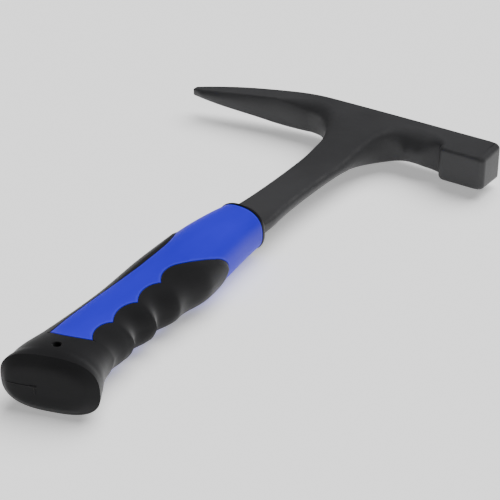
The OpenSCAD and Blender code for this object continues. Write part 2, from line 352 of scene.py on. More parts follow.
def shank_edges():
    """Rows down the shank and the tang: their Y, then the back and the front edge."""
    foot = SHOULDER_Y + SHOULDER_H
    y = np.concatenate([
        np.arange(SEAM_Y - 2, SHOULDER_Y + 6, -2.0), np.arange(SHOULDER_Y + 6, foot, -0.7),
        [foot], np.arange(SHOULDER_Y, TANG_END + 4, -6.0),
        [TANG_END + TANG_CORNER, TANG_END + 1.2, TANG_END]])
    drop = np.clip(TANG_END + TANG_CORNER - y, 0, TANG_CORNER)
    half = TANG_HALF_W - (TANG_CORNER - np.sqrt(TANG_CORNER ** 2 - drop ** 2))
    in_tang = y <= SHOULDER_Y
    back = np.where(in_tang, -half, along(SHANK_BACK, y))
    front = np.where(in_tang, half, along(SHANK_FRONT, y))
    return y, np.stack([back, y], 1), np.stack([front, y], 1)


def rim_normals(points):
    """Unit normals to the right of a polyline."""
    ahead = np.roll(points, -1, 0) - points
    back = points - np.roll(points, 1, 0)
    ahead[-1] = back[-1]
    back[0] = ahead[0]
    t = ahead / np.linalg.norm(ahead, axis=1)[:, None]
    t += back / np.linalg.norm(back, axis=1)[:, None]
    t /= np.linalg.norm(t, axis=1)[:, None]
    return np.stack([t[:, 1], -t[:, 0]], 1)


def low_round(x):
    """Radius of the lower edge of the flats along the head."""
    pick = mix(*PICK_EDGE, ease(-62, -27, x))
    pick = mix(pick, ROOT_EDGE, ease(-22, -11.5, x))
    neck = mix(ROOT_EDGE, NECK_EDGE, ease(9, 27, x))
    neck = mix(neck, BLOCK_EDGE, ease(BLOCK_X - 5, BLOCK_X + 5, x))
    side = np.where(x < 0, pick, neck) + FACE_EDGE[0] * ease(FACE_REACH - 7, FACE_REACH, x)
    return np.minimum(side, 0.9 * half_t(x, BLOCK_Y + 5))


def low_bow(x):
    """How far the lower walls of the head bow out at the mid-plane."""
    pick = mix(*PICK_BOW, ease(-60, -40, x)) * ease(-PICK_REACH, -PICK_REACH + 8, x)
    neck = mix(SHANK_BOW, NECK_BOW, ease(10, 30, x)) * (1 - ease(BLOCK_X - 12, BLOCK_X + 1, x))
    return np.where(x < 0, mix(pick, SHANK_BOW, ease(-24, -11, x)), neck)


def wall_profile(h, radius, bow):
    """Down a wall from flat to flat: how far out, how high, and how worn."""
    theta = np.radians(np.linspace(0, 90, CORNER_STEPS + 1)[1:])
    radius_z = min(radius, 0.8 * h)
    corner_out = radius * (np.sin(theta) - 1)
    corner_z = h - radius_z + radius_z * np.cos(theta)
    wall_z = np.linspace(corner_z[-1], -corner_z[-1], WALL_STEPS + 1)[1:-1]
    z = np.concatenate([corner_z, wall_z, -corner_z[::-1]])
    between = np.zeros(WALL_STEPS - 1)
    out = np.concatenate([corner_out, between, corner_out[::-1]]) + bow * (1 - (z / h) ** 2)
    shine = np.sin(2 * theta) * min(1, SHANK_EDGE / max(radius, 0.1))
    return out, z, np.concatenate([shine, between, shine[::-1]])


def wall_round(rim, height):
    """The wall between the flats, from the outline once round: the flat's own point,
    edge point, normal, radius and bow. The tip, the face and the tang's end have no
    edge points, and are spanned between their corners."""
    layers, n_rim, n_flat = 2 * CORNER_STEPS + WALL_STEPS - 1, len(rim), len(height)
    points = np.zeros((n_rim, layers, 3))
    worn = np.zeros((n_rim, layers))
    for n, (index, edge, normal, radius, bow) in enumerate(rim):
        if edge is not None:
            out, points[n, :, 2], worn[n] = wall_profile(height[index], radius, bow)
            points[n, :, :2] = edge + np.outer(out, normal)
    gaps = [n for n in range(n_rim) if rim[n][1] is None]
    for run in np.split(gaps, np.where(np.diff(gaps) > 1)[0] + 1):
        a, b = (run[0] - 1) % n_rim, (run[-1] + 1) % n_rim
        for m, n in enumerate(run):
            points[n] = mix(points[a], points[b], (m + 1) / (len(run) + 1))

    def ring_id(n, layer):
        n %= n_rim
        if layer < 0:
            return rim[n][0]
        return rim[n][0] + n_flat if layer >= layers else 2 * n_flat + n * layers + layer

    faces = [(ring_id(n, k), ring_id(n + 1, k), ring_id(n + 1, k + 1), ring_id(n, k + 1))
             for n in range(n_rim) for k in range(-1, layers)]
    return points.reshape(-1, 3), faces, worn.reshape(-1)


def forging_mesh():
    """The forging: two flats, and one rounded, bowed wall all round between them."""
    low, starts = low_edge()
    high = back_edge(low, starts)
    shank_y, left, right = shank_edges()
    seam_0, seam_1 = starts[2], starts[3]
    count, rows, cols = len(low), len(shank_y), HEAD_ROWS + 1

    # Normals, edge radii and bows of the head's lower side, its back and the shank
    low_n = rim_normals(low)
    high_n = -rim_normals(high)
    left_n = rim_normals(np.concatenate([low[seam_0][None], left]))[1:]
    right_n = -rim_normals(np.concatenate([low[seam_1][None], right]))[1:]
    low_n[seam_0] = (-1, 0.03)
    low_n[seam_1] = (1, 0.03)
    low_r = low_round(low[:, 0])
    low_r[seam_0:seam_1 + 1] = SHANK_EDGE
    high_r = np.minimum(BACK_EDGE, 0.3 * half_t(high[:, 0], high[:, 1]) + 0.3)
    high_r = high_r + FACE_EDGE[1] * ease(FACE_REACH - 7, FACE_REACH, high[:, 0])
    shank_r = np.where(shank_y <= SHOULDER_Y, TANG_EDGE, SHANK_EDGE)
    low_b = low_bow(low[:, 0])
    high_b = BACK_BOW * ease(-PICK_REACH, -PICK_REACH + 8, high[:, 0])
    high_b = high_b * (1 - ease(BLOCK_X - 4, BLOCK_X + 4, high[:, 0]))
    shank_b = SHANK_BOW * ease(SHOULDER_Y, SHOULDER_Y + 15, shank_y)

    # Flats
    low_in = low - low_n * low_r[:, None]
    high_in = high - high_n * high_r[:, None]
    low_in[seam_0:seam_1] = line(low_in[seam_0], low_in[seam_1], SEAM_CELLS)
    head = mix(low_in[:, None], high_in[:, None], np.linspace(0, 1, cols)[None, :, None])
    left_in = left - left_n * shank_r[:, None]
    right_in = right - right_n * shank_r[:, None]
    share = np.linspace(0, 1, SEAM_CELLS + 1)[None, :, None]
    shank = mix(left_in[:, None], right_in[:, None], share)
    flat = np.concatenate([head.reshape(-1, 2), shank.reshape(-1, 2)])
    height = half_t(flat[:, 0], flat[:, 1])

    def head_id(i, row):
        return i * cols + row

    def shank_id(row, col):
        if row < 0:
            return head_id(seam_0 + col, 0)
        return count * cols + row * (SEAM_CELLS + 1) + col

    quads = [
        (head_id(i, r), head_id(i + 1, r), head_id(i + 1, r + 1), head_id(i, r + 1))
        for i in range(count - 1) for r in range(HEAD_ROWS)]
    quads += [
        (shank_id(r + 1, c), shank_id(r + 1, c + 1), shank_id(r, c + 1), shank_id(r, c))
        for r in range(-1, rows - 1) for c in range(SEAM_CELLS)]

    def ends(ids):
        return [(i, None, None, 0, 0) for i in ids]

    under = list(zip([head_id(i, 0) for i in range(count)], low, low_n, low_r, low_b))
    top = zip([head_id(i, HEAD_ROWS) for i in range(count)], high, high_n, high_r, high_b)
    back = zip([shank_id(r, 0) for r in range(rows)], left, left_n, shank_r, shank_b)
    front = zip([shank_id(r, SEAM_CELLS) for r in range(rows)], right, right_n, shank_r, shank_b)
    rim = [*under[:seam_0 + 1], *back, *ends(shank_id(rows - 1, c) for c in range(1, SEAM_CELLS)),
           *list(front)[::-1], *under[seam_1:],
           *ends(head_id(count - 1, r) for r in range(1, HEAD_ROWS)), *list(top)[::-1],
           *ends(head_id(0, r) for r in range(HEAD_ROWS - 1, 0, -1))]
    wall, wall_faces, worn = wall_round(rim, height)
    points = np.concatenate([
        np.column_stack([flat, height]), np.column_stack([flat, -height]), wall])
    faces = [q[::-1] for q in quads] + [tuple(v + len(flat) for v in q) for q in quads]
    return points, faces + wall_faces, np.concatenate([np.zeros(2 * len(flat)), worn])


# ---- Grip ----

# Stations up the grip: distance from the butt, then the offset or the half thickness
GRIP_BACK = [
    (3.6, -13.7), (14, -15.6), (29, -14.7), (60, -14.5), (90, -16.4), (112, -17.2),
    (130, -17.2), (146, -15.6), (160, -13.5),
]
GRIP_FRONT = [
    (3.6, 29.5), (10, 26.6), (18, 22.4), (26, 19.7), (36, 18.2), (50, 17.4), (84, 17.5),
    (100, 18), (112, 17.6), (130, 15.6), (146, 13.6), (160, 12.6),
]
GRIP_HALF_T = [
    (3.6, 14.4), (8, 15.0), (14, 14.7), (29, 12.8), (60, 12.6), (112, 13.2), (130, 13.1),
    (146, 12.5), (160, 11.5),
]
# Squareness of the oval sections at the butt, above it and up the grip; an ellipse is 2
BUTT_POWER = 2.7
WAIST_POWER = 2.15
BODY_POWER = 2.4
# The butt's slope, and where it fades up the grip
BUTT_SLOPE = 0.31
SLOPE_FADE = (10, 75)
# The butt's end: inset from the rim, then distance along the grip
BUTT_END = [(0, 3.6), (2.3, 1.9), (3.8, 0.9), (5.1, 0.45), (7, 0.2), (11, 0.05), (15, 0)]
# Finger hollows: the ridges between them, how far each ridge sweeps towards the head,
# how far it stands out, and the shares of the first and the last hollow's depth
RIDGES = [25.5, 43, 63, 81.5]
RIDGE_SWEEP = [(20, 6), (43, 5), (63, 2.5), (81.5, 0.5), (120, 0)]
RIDGE_RISE = 1.6
FIRST_SHARE = 0.3
LAST_SHARE = 0.42
LAST_HOLLOW = 24.0
HOLLOW_REACH = 17.0
# The finger pad's edge in side view: scallops between the cusps, then the nose
CUSPS = [(13, 29.2), (11.3, 45), (10.7, 63.1), (9.8, 81.1)]
SCALLOP_SAG = 3.0
LAST_SAG = 2.8
PAD_EDGE = [(7.6, 97.3), (10, 102.3), (12.1, 107), (13.6, 111.1), (14.8, 114.9)]
PAD_TIP_S = 124.2
PAD_RISE = 1.4
# The edge of the strip down the back, in side view, and how far the strip stands out
STRIP_EDGE = [
    (-5, 22.3), (-6.9, 34.3), (-7.5, 46), (-7.5, 57), (-7.2, 66), (-6.9, 77), (-6.8, 86),
    (-7.2, 93), (-7.6, 100), (-8.1, 106), (-9.1, 112), (-10.8, 117.5), (-13, 122.5),
    (-15.4, 127), (-17.4, 130.6),
]
STRIP_RISE = 0.6
# The sleeve's lower edge bows towards the butt by this much
CUT_SAG = 2.4
# Marks on the butt: the parting line's ends, the gate mark, and their ribs' width and
# height
PARTING = (-9.6, 4.0)
GATE_X = 3.5
GATE_DROP = 4.2
LINE_RIB = (0.55, 0.20)
DROP_RIB = (0.7, 0.22)
GATE_RIB = (1.3, 0.38)
# The drill for the lanyard hole
BORE_SIDES = 64
BORE_REACH = 25.0
# Half the girth in the flat pattern, and its row at the butt's centre
HALF_GIRTH = 46.0
CAP_V = RIM_S - BUTT_END[-1][0]
# The core: its lower end, how far it stands back from the fingers, and the lip's
# profile as distance beyond the sleeve's end, then inset from the grip's oval
CORE_END = 9.0
CORE_BACK = 1.6
CORE_SIDES = 144
# The round over of the lip's mouth, where the shank comes out
MOUTH_GAP = 0.3
LIP_SHAPE = [
    (0, 0.3), (0.1, -0.1), (0.3, -0.3), (0.7, -0.42), (1.2, -0.42), (1.6, -0.3), (2, 0),
    (2.3, 0.4), (LIP_T, 1.1),
]
# Cells: the grid's, the steps along the sleeve's edge, that edge's radius, and the
# rows of points beside it
GRID = 1.0
EDGE_STEP = 0.7
EDGE_ROUND = 0.35
EDGE_ROWS = (0.05, 0.12, 0.22, 0.35, 0.62)
# How far from the sleeve's edge a lighter line of painted highlight runs, and how widely
HIGHLIGHT_AT = 0.6
HIGHLIGHT_WIDTH = 0.25


def lean(s):
    """Slope of the grip's section at a distance from the butt."""
    return BUTT_SLOPE * (1 - ease(*SLOPE_FADE, s))


def grip_section(s, a, inset):
    """X and Z of the grip's oval section, before the finger hollows."""
    back, front = along(GRIP_BACK, s), along(GRIP_FRONT, s)
    half = along(GRIP_HALF_T, s)
    c, d = np.cos(a), np.sin(a)
    power = mix(BUTT_POWER, WAIST_POWER, ease(RIM_S, 10, s))
    power = 2 / mix(power, BODY_POWER, ease(10, 30, s))
    x = (back + front) / 2 + np.sign(c) * np.abs(c) ** power * ((front - back) / 2 - inset)
    return x, np.sign(d) * np.abs(d) ** power * (half - inset)


TABLE_S = np.linspace(-2, 162, 411)
TABLE_A = np.radians(np.linspace(0, 180, 721))
TABLE_U = np.linspace(0, 1, 361)


def girth_table():
    """Angle at each share of the half girth, for each distance in TABLE_S."""
    rows = []
    for s in TABLE_S:
        x, z = grip_section(np.full_like(TABLE_A, s), TABLE_A, 0)
        length = np.concatenate([[0], np.cumsum(np.hypot(np.diff(x), np.diff(z)))])
        rows.append(np.interp(TABLE_U, length / length[-1], TABLE_A))
    return np.array(rows)


GIRTH = girth_table()


def angle_at(s, u):
    """The section angle at a share u of the half girth."""
    i = np.clip((s - TABLE_S[0]) / (TABLE_S[1] - TABLE_S[0]), 0, len(TABLE_S) - 1.001)
    j = np.clip(u, 0, 1) * (len(TABLE_U) - 1.001)
    i0, j0 = i.astype(int), j.astype(int)
    fi, fj = i - i0, j - j0
    low = mix(GIRTH[i0, j0], GIRTH[i0, j0 + 1], fj)
    return mix(low, mix(GIRTH[i0 + 1, j0], GIRTH[i0 + 1, j0 + 1], fj), fi)


def flattened(points):
    """Side-view points (X, Y) of the upper half, as (u, v) in the flat pattern."""
    out = []
    for x, y in points:
        s = y
        for _ in range(40):
            s = y - float(lean(s)) * x
        a = angle_at(np.full_like(TABLE_U, s), TABLE_U)
        xs, _ = grip_section(np.full_like(TABLE_U, s), a, 0)
        share = np.interp(-x, -xs, TABLE_U)
        out.append((share * HALF_GIRTH, s))
    return np.array(out)


def bulge(a, b, sag, count):
    """A circular arc from a to b that stands sag to the left, last point left out."""
    a, b = np.array(a, float), np.array(b, float)
    chord = np.linalg.norm(b - a)
    r = (chord * chord / 4 + sag * sag) / (2 * sag)
    side = np.array([(b - a)[1], -(b - a)[0]]) / chord
    centre = (a + b) / 2 + side * (r - sag)
    a0 = math.atan2(*(a - centre)[::-1])
    a1 = math.atan2(*(b - centre)[::-1])
    if a1 > a0:
        a1 -= 2 * math.pi
    angle = np.linspace(a0, a1, count + 1)[:-1]
    return centre + r * np.stack([np.cos(angle), np.sin(angle)], 1)


def smooth_line(stations, count):
    """A smooth curve through side-view points, evenly parameterised by Y."""
    stations = np.array(stations, float)
    y = np.linspace(stations[0, 1], stations[-1, 1], count)
    return np.stack([along(stations[:, ::-1], y), y], 1)


def pad_curve():
    """The finger pad's scallops and the side of its nose, in side view."""
    parts = [bulge(CUSPS[i], CUSPS[i + 1], SCALLOP_SAG, 26) for i in range(3)]
    parts.append(bulge(CUSPS[3], PAD_EDGE[0], LAST_SAG, 26))
    parts.append(smooth_line(PAD_EDGE, 40))
    return np.concatenate(parts)


def pad_outline():
    """The finger pad's edge in the flat pattern, closed by a blunt round nose."""
    side = flattened(pad_curve())
    u, s = side[-1]
    t = np.sin(np.linspace(0, np.pi / 2, 25)[1:])
    nose = np.stack([u * (1 - t ** 1.15) ** 0.58, mix(s, PAD_TIP_S, t)], 1)
    return np.concatenate([side, nose])


def to_edge(curve, at_u):
    """Cuts a flat-pattern curve where it reaches the line u = at_u."""
    inside = np.abs(curve[:, 0] - at_u) > 0.02
    last = np.where(inside)[0][-1]
    kept = curve[:last + 1]
    return np.concatenate([kept, [[at_u, kept[-1, 1] + 0.02]]])


def resampled(curve, step):
    """A curve cut into even steps of about this length."""
    length = lengths(curve)
    t = np.linspace(0, length[-1], max(2, int(round(length[-1] / step)) + 1))
    return np.stack([np.interp(t, length, curve[:, 0]), np.interp(t, length, curve[:, 1])], 1)


def kept_corners(curves, step):
    """Joins curves end to end, resampled, with their shared corners kept."""
    out = [resampled(c, step) for c in curves]
    return np.concatenate([c[:-1] for c in out[:-1]] + [out[-1]])


def distance_to(points, segments):
    """Distance from each point to the nearest of the segments."""
    a, b = segments[:, 0], segments[:, 1]
    ab = b - a
    size = np.maximum((ab * ab).sum(1), 1e-9)
    best = np.full(len(points), 1e9)
    for start in range(0, len(points), 4000):
        p = points[start:start + 4000, None]
        t = np.clip(((p - a) * ab).sum(2) / size, 0, 1)
        d = np.linalg.norm(p - a - t[..., None] * ab, axis=2)
        best[start:start + 4000] = d.min(1)
    return best


def inside_of(points, polygon):
    """Whether each point is inside the polygon."""
    x, y = points.T
    result = np.zeros(len(points), bool)
    for (x0, y0), (x1, y1) in zip(polygon, np.roll(polygon, -1, 0)):
        crosses = (y0 > y) != (y1 > y)
        at = x0 + (y - y0) * (x1 - x0) / (y1 - y0 if y1 != y0 else 1e-12)
        result ^= crosses & (x < at)
    return result


def straight_across(v):
    """A line across the flat pattern, from seam to seam."""
    return np.stack([np.linspace(0, HALF_GIRTH, 61), np.full(61, v)], 1)


def rows_beside(lines, edges):
    """Rows of points on both sides of the lines, which carry their rounded edges."""
    rows = []
    for pairs in lines:
        d = pairs[:, 1] - pairs[:, 0]
        n = np.stack([-d[:, 1], d[:, 0]], 1) / np.linalg.norm(d, axis=1)[:, None]
        for r in EDGE_ROWS:
            for sign in (-1, 1):
                p = pairs.mean(1) + sign * r * n
                rows.append(p[distance_to(p, edges) > 0.93 * r])
    rows = np.concatenate(rows)
    inside = (rows[:, 0] > 0.03) & (rows[:, 0] < HALF_GIRTH - 0.03)
    return rows[inside & (rows[:, 1] < COLLAR_Y - 0.01)]


def grid_clear_of(edges):
    """A triangular grid of points, and points down the two seams, clear of the lines."""
    u = np.arange(0, HALF_GIRTH + 0.01, HALF_GIRTH / round(HALF_GIRTH / GRID))
    v = np.arange(CAP_V, COLLAR_Y, 0.866 * GRID)
    grid = np.array([(min(x + (k % 2) * GRID / 2, HALF_GIRTH), y)
                     for k, y in enumerate(v) for x in u])
    grid = grid[distance_to(grid, edges) > EDGE_ROWS[-1] + 0.35]
    grid = grid[(np.abs(grid[:, 1] - RIM_S) > 0.4) & (grid[:, 1] > CAP_V + 0.3)]
    grid = grid[(grid[:, 0] > 0.3) & (grid[:, 0] < HALF_GIRTH - 0.3)]
    seams = np.array([(x, y) for x in (0.0, HALF_GIRTH)
                      for y in np.arange(CAP_V + 1, COLLAR_Y, 0.8)])
    clear = (distance_to(seams, edges) > 0.2) & (np.abs(seams[:, 1] - RIM_S) > 0.3)
    return seams[clear], grid


def flat_pattern():
    """Triangles of the grip's upper half in the flat pattern, with the sleeve's
    outline and the lanyard hole as lines of it."""
    pad = pad_outline()
    strip = to_edge(flattened(smooth_line(STRIP_EDGE, 240)), HALF_GIRTH)
    cut = flattened(bulge(CUSPS[0], STRIP_EDGE[0], CUT_SAG, 30))[::-1]
    cut = np.concatenate([strip[:1], cut])
    side = kept_corners([strip[::-1], cut, pad], EDGE_STEP)
    hole = flattened(arc(LANYARD_AT, LANYARD_R, LANYARD_R, 0, 360, 28))
    collar, rim, cap = (straight_across(v) for v in (COLLAR_Y, RIM_S, CAP_V))

    lines = [steps_of(side), steps_of(np.concatenate([hole, hole[:1]])), steps_of(collar)]
    edges = np.concatenate(lines)
    seams, grid = grid_clear_of(edges)
    loops = [side, hole, collar, rim, cap]
    points = np.concatenate(loops + [seams, rows_beside(lines, edges), grid])
    links, start = [], 0
    for loop in loops:
        ids = list(range(start, start + len(loop)))
        links += list(zip(ids, ids[1:]))
        if loop is hole:
            links.append((ids[-1], ids[0]))
        start += len(loop)
    found = delaunay_2d_cdt([Vector(p) for p in points], links, [], 0, 1e-5)
    flat = np.array([tuple(p) for p in found[0]])
    triangles = np.array([t for t in found[2] if len(t) == 3])
    middle = flat[triangles].mean(1)
    area = np.cross(flat[triangles[:, 1]] - flat[triangles[:, 0]],
                    flat[triangles[:, 2]] - flat[triangles[:, 0]])
    ok = (np.abs(area) > 1e-7) & ~inside_of(middle, hole)
    triangles, middle = triangles[ok], middle[ok]
    sleeve_shape = np.concatenate([side, [[0, COLLAR_Y + 5], [HALF_GIRTH, COLLAR_Y + 5]]])
    return flat, triangles, inside_of(middle, sleeve_shape), edges, pad, strip


def hollow(s):
    """0 on a ridge between fingers, 1 in the middle of a finger hollow. The side of a
    ridge towards the head is the steeper one."""
    depth = np.zeros_like(s)
    for low, high, share in zip(RIDGES, RIDGES[1:], (FIRST_SHARE, 1.0, 1.0)):
        t = np.clip((s - low) / (high - low), 0, 1) ** 0.76
        depth += share * (0.5 - 0.5 * np.cos(2 * np.pi * t)) ** 0.72
    t = np.clip((s - RIDGES[-1]) / LAST_HOLLOW, 0, 1) ** 0.8
    return depth + LAST_SHARE * (0.5 - 0.5 * np.cos(2 * np.pi * t)) ** 0.8


def finger_cut(u, s, pad, from_edge):
    """Depth of the finger hollows, which start at the finger pad's scalloped edge."""
    edge = np.interp(s, pad[:, 1], pad[:, 0])
    t = np.clip((edge - u) / HOLLOW_REACH, 0, 1)
    share = 1 - (1 - t) ** 1.8
    rise = RIDGE_RISE * ease(0, 1, t) * ease(28, 42, s) * (1 - ease(100, 122, s))
    rise = rise + PAD_RISE * ease(0, 2.2, from_edge) * ease(84, 108, s)
    return FINGER_DEPTH * share * hollow(s - along(RIDGE_SWEEP, s) * t) - rise


def core_cut(a, s):
    """How far the core stands back from the finger hollows."""
    share = np.maximum(0, np.cos(a) - 0.5) / 0.5
    return CORE_BACK * share * ease(14, 24, s) * (1 - ease(104, 118, s))


def strip_rise(flat, a, s, x, z, strip):
    """Lifts the strip down the back off the grip's oval towards its tip."""
    edge = np.interp(s, strip[:, 1], strip[:, 0], right=HALF_GIRTH)
    lift = STRIP_RISE * ease(0, 1.6, flat[:, 0] - edge) * ease(60, 100, s)
    n_x, n_z = np.cos(a), np.sin(a)
    return x + lift * n_x, z + lift * n_z


def grip_surface(flat, pad, strip, inner):
    """Points of the grip's upper half for the flat pattern, outside or on the core."""
    u, v = flat[:, 0] / HALF_GIRTH, flat[:, 1]
    capped = np.maximum(RIM_S - v, 0)
    s_out = np.where(capped > 0, along(BUTT_END, capped), v)
    a = angle_at(np.maximum(s_out, RIM_S), u)
    a = np.where(u <= 0, 0, np.where(u >= 1, np.pi, a))
    if inner:
        below = np.maximum(CORE_END - v, 0)
        s = np.maximum(v, CORE_END)
        inset = WALL + below * (along(GRIP_HALF_T, CORE_END) - WALL) / (CORE_END - CAP_V)
        x, z = grip_section(s, a, inset)
        x = x - core_cut(a, s)
    else:
        s = s_out
        x, z = grip_section(np.maximum(s, RIM_S), a, capped)
        from_edge = distance_to(flat, steps_of(pad))
        from_edge = np.where(flat[:, 0] < np.interp(s, pad[:, 1], pad[:, 0]), from_edge, 0)
        x = x - finger_cut(flat[:, 0], s, pad, from_edge)
        x, z = strip_rise(flat, a, s, x, z, strip)
    z = np.where((u <= 0) | (u >= 1) | (v <= CAP_V + 1e-6), 0, z)
    return np.stack([x, s + lean(s) * x, z], 1)


def both_halves(flat, triangles, is_sleeve):
    """Mirrors the upper half's triangles to the lower half, sharing the seam."""
    u, v = flat.T
    on_seam = (u <= 1e-6) | (u >= HALF_GIRTH - 1e-6) | (v <= CAP_V + 1e-6)
    count = len(flat)
    twin = np.arange(count) + count
    twin[on_seam] = np.where(on_seam)[0]
    lower = twin[triangles][:, ::-1]
    return np.concatenate([triangles, lower]), np.concatenate([is_sleeve, is_sleeve])


def vertex_normals(points, triangles):
    """Unit normals at the points, weighted by the triangles' areas."""
    corner = points[triangles]
    n = np.cross(corner[:, 1] - corner[:, 0], corner[:, 2] - corner[:, 0])
    total = np.zeros_like(points)
    for k in range(3):
        np.add.at(total, triangles[:, k], n)
    return total / np.maximum(np.linalg.norm(total, axis=1), 1e-12)[:, None]


def shell(outer, inner, triangles):
    """A closed shell from an open surface and its inner copy."""
    used, tri = np.unique(triangles, return_inverse=True)
    tri = tri.reshape(-1, 3)
    n = len(used)
    sides = {(t[k], t[(k + 1) % 3]): True for t in tri for k in range(3)}
    walls = [(b, a, a + n, b + n) for a, b in sides if (b, a) not in sides]
    faces = [tuple(t) for t in tri] + [(t[2] + n, t[1] + n, t[0] + n) for t in tri] + walls
    return np.concatenate([outer[used], inner[used]]), faces, used


def grip_meshes():
    """The sleeve and the overmould: points, faces, edge wear with painted groove shade, and rim
    highlight.
    """
    flat, half_triangles, half_sleeve, edges, pad, strip = flat_pattern()
    triangles, is_sleeve = both_halves(flat, half_triangles, half_sleeve)
    outer, inner = (np.concatenate([half, half * [1, 1, -1]]) for half in (
        grip_surface(flat, pad, strip, False), grip_surface(flat, pad, strip, True)))
    normals = -vertex_normals(outer, triangles)
    away = distance_to(flat, edges)
    near = np.clip(1 - away / EDGE_ROUND, 0, 1)
    dip = EDGE_ROUND * (1 - np.sqrt(1 - near * near))
    outer = outer - normals * np.tile(dip, 2)[:, None]
    # Nearness to the sleeve's edge: real edge wear on the rubber, painted groove shade on the
    # sleeve
    wear_and_groove_shade = np.tile(near, 2)
    # The band beside the sleeve's edge that carries a painted highlight
    rim = np.tile(np.exp(-((away - HIGHLIGHT_AT) / HIGHLIGHT_WIDTH) ** 2), 2)
    result = {}
    for name, chosen in (("sleeve", is_sleeve), ("overmould", ~is_sleeve)):
        points, faces, used = shell(outer, inner, triangles[chosen])
        none = np.zeros(len(used))
        result[name] = (points, faces, np.concatenate([wear_and_groove_shade[used], none]),
                        np.concatenate([rim[used], none]))
    return result


def oriented(piece):
    """Turns a closed piece's faces outwards."""
    mesh = bmesh.new()
    mesh.from_mesh(piece.data)
    bmesh.ops.recalc_face_normals(mesh, faces=mesh.faces)
    mesh.to_mesh(piece.data)
    mesh.free()


def core_mesh():
    """The core: outside, lip, end face, then the cavity that holds the tang."""
    sides = CORE_SIDES
    u = np.linspace(0, 2, sides + 1)[:-1]
    share = np.where(u <= 1, u, 2 - u)
    sign = np.where(u <= 1, 1.0, -1.0)

    def ring(s, inset):
        s_all = np.full(sides, float(s))
        a = angle_at(s_all, share)
        x, z = grip_section(s_all, a, inset)
        if s < COLLAR_Y:
            x = x - core_cut(a, s_all)
        return np.stack([x, s_all + lean(s_all) * x, sign * z], 1)

    def slot(y, grow):
        """A ring on the forging's own section at y, with rounded corners."""
        back, front = (along(SHANK_BACK, y), along(SHANK_FRONT, y)) if y > SHOULDER_Y else (
            -TANG_HALF_W, TANG_HALF_W)
        a = angle_at(np.full(sides, y), share)
        c, d = np.cos(a), np.sin(a)
        hx, hz = (front - back) / 2 + grow, SHANK_HALF_T + grow
        big = np.maximum(np.abs(c) / hx, np.abs(d) / hz)
        x = (back + front) / 2 + c / big
        return np.stack([x, np.full(sides, float(y)), sign * d / big], 1)

    rings = [ring(CORE_END, inset) for inset in (13.5, 9, 4, WALL)]
    rings += [ring(s, WALL) for s in [*range(15, 156, 6), COLLAR_Y]]
    rings += [ring(COLLAR_Y + h, inset) for h, inset in LIP_SHAPE]
    top, end = rings[-1], COLLAR_Y + LIP_T
    rings += [mix(top, slot(end, MOUTH_GAP), t) for t in (0.3, 0.6, 0.85, 1.0)]
    rings += [slot(end - 0.2, 0.1), slot(end - 0.5, 0.0)]
    rings += [slot(y, 0.0) for y in (SHOULDER_Y + SHOULDER_H, SHOULDER_Y, 120, 90, 60, TANG_END)]
    return np.concatenate(rings), tube_faces(len(rings), sides)


def bore_through(piece, place, radius):
    """Drills a piece right through its thickness."""
    ring = arc(place, radius, radius, 0, 360, BORE_SIDES)
    points = np.concatenate([np.column_stack([ring, np.full(BORE_SIDES, z)])
                             for z in (-BORE_REACH, BORE_REACH)])
    mesh = bpy.data.meshes.new("bore")
    mesh.from_pydata(placed(points).tolist(), [], tube_faces(2, BORE_SIDES))
    drill = add_object("bore", mesh)
    cut = piece.modifiers.new("bore", "BOOLEAN")
    cut.operation = "DIFFERENCE"
    cut.solver = "EXACT"
    cut.object = drill
    drilled = piece.evaluated_get(bpy.context.evaluated_depsgraph_get())
    piece.data = bpy.data.meshes.new_from_object(drilled)
    piece.modifiers.remove(cut)
    bpy.data.objects.remove(drill)


def rib(path, normal, across, size):
    """A low rounded rib along a path on a surface, as a closed mesh."""
    sides, rings = 8, len(path)
    turn = np.linspace(0, 2 * math.pi, sides + 1)[:-1]
    from_end = np.minimum(np.arange(rings), np.arange(rings)[::-1])
    taper = np.sqrt(np.clip(from_end / 3, 0.15, 1))
    width, height = size
    points = path[:, None] + taper[:, None, None] * (
        np.outer(np.cos(turn) * width / 2, across) + np.outer(np.sin(turn) * height, normal))
    return points.reshape(-1, 3), tube_faces(rings, sides)


def butt_marks():
    """The mould's parting line across the butt, and its gate mark."""
    x = np.linspace(*PARTING, 60)
    s = along(BUTT_END, np.minimum(x - GRIP_BACK[0][1], BUTT_END[-1][0]))
    slope = float(lean(RIM_S))
    normal = np.array([slope, -1, 0]) / math.hypot(slope, 1)
    line_path = np.stack([x, s + slope * x, np.zeros(60)], 1)
    z = np.linspace(0.3, -GATE_DROP, 20)
    drop_path = np.stack([np.full(20, GATE_X), np.full(20, slope * GATE_X), z], 1)
    x = np.linspace(GATE_X - 2.6, GATE_X + 1.2, 16)
    gate_path = np.stack([x, slope * x, np.zeros(16)], 1)
    up = np.array([0, 0, 1.0])
    along_x = np.array([1.0, slope, 0])
    return [rib(line_path, normal, up, LINE_RIB), rib(drop_path, normal, along_x, DROP_RIB),
            rib(gate_path, normal, up, GATE_RIB)]


def joined(parts):
    """Several meshes with one attribute each, as one."""
    points, faces, wear_and_groove_shade = zip(*parts)
    starts = np.cumsum([0] + [len(p) for p in points])
    moved = [tuple(v + start for v in f) for start, part in zip(starts, faces) for f in part]
    return np.concatenate(points), moved, np.concatenate(wear_and_groove_shade)


# ---- Materials ----


def new_material(name, **sockets):
    """A material with its constants set on the shader's own sockets."""
    material = bpy.data.materials.new(name)
    material.use_nodes = True
    shader = material.node_tree.nodes["Principled BSDF"]
    for socket, value in sockets.items():
        shader.inputs[socket.replace("_", " ")].default_value = value
    return material, material.node_tree, shader


